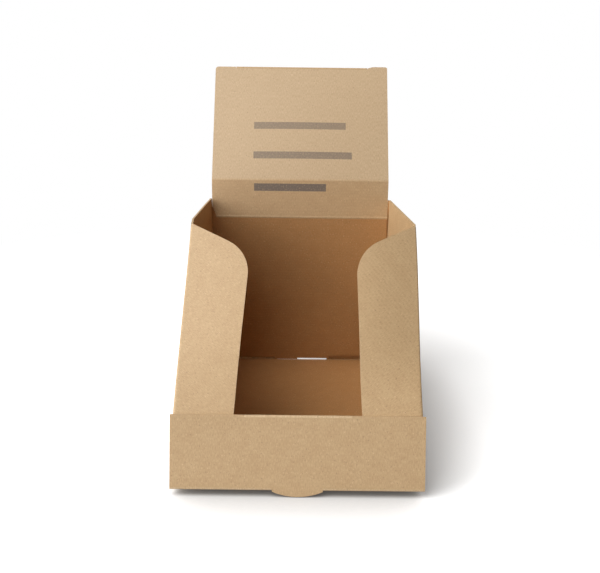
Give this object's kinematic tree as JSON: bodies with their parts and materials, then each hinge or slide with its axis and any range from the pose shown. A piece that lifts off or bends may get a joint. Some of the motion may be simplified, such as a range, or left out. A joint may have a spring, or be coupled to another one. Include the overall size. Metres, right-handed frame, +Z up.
{
  "type": "counter display box",
  "caption": "Folded kraft board counter display box: open tray with raked wings and a low front band, and a hinged lid that stands up behind it as a header.",
  "frame": {"origin": "on the table under the middle of the part's width and depth", "axes": "+X to the right as seen from the front, +Y to the back, +Z up"},
  "size_m": [0.1504, 0.2629, 0.2476],
  "materials": {
    "kraft_board": "uncoated brown kraft liner, matt"
  },
  "bodies": {
    "tray": {"tray": "kraft_board"},
    "lid": {"lid": "kraft_board"},
    "tuck_flap": {"tuck_flap": "kraft_board"}
  },
  "joints": [
    {"name": "lid_hinge", "type": "hinge", "parent": "tray", "child": "lid", "pos_m": [0, 0.05882, 0.129], "axis": [1, 0, 0], "range_deg": [-70, 101]},
    {"name": "tuck_crease", "type": "hinge", "parent": "lid", "child": "tuck_flap", "pos_m": [0, 0.10765, 0.24598], "axis": [1, 0, 0], "range_deg": [0, 180]}
  ]
}
